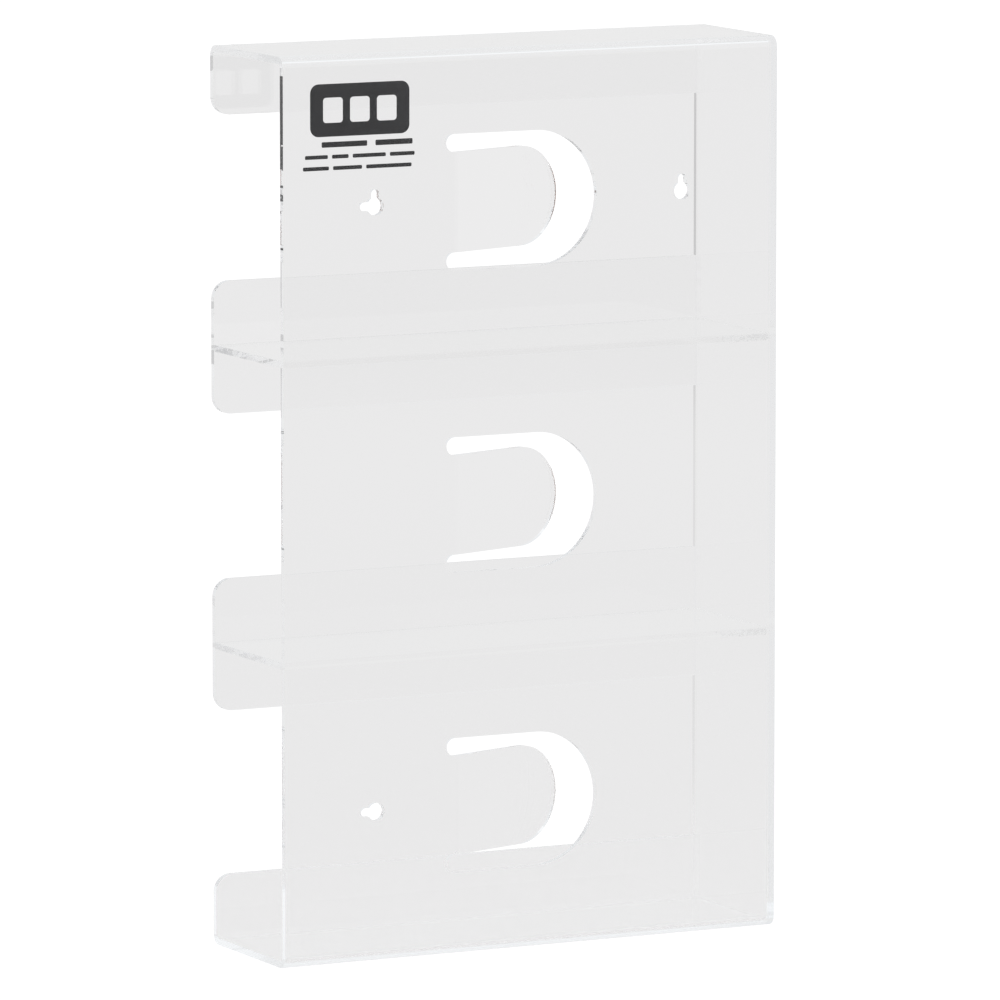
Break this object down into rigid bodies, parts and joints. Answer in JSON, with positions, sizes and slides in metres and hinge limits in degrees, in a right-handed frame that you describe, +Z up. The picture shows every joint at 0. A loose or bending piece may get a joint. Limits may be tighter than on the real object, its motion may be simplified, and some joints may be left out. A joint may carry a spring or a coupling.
{
  "type": "glove box holder",
  "caption": "Clear acrylic wall holder for stacked boxes of gloves: a bent sheet with keyholes and sprung tongues, a side panel, shelves and front strips.",
  "frame": {"origin": "middle of the footprint, on the surface that the holder stands on", "axes": "+Z up, +Y towards the wall, +X towards the open end"},
  "size_m": [0.243, 0.074, 0.4005],
  "materials": {
    "clear_acrylic": "clear cast acrylic with flame-polished edges"
  },
  "bodies": {
    "root": {"body_sheet": "clear_acrylic", "side_panel": "clear_acrylic", "shelf_1": "clear_acrylic", "front_strip_1": "clear_acrylic", "shelf_2": "clear_acrylic", "front_strip_2": "clear_acrylic"}
  },
  "joints": []
}
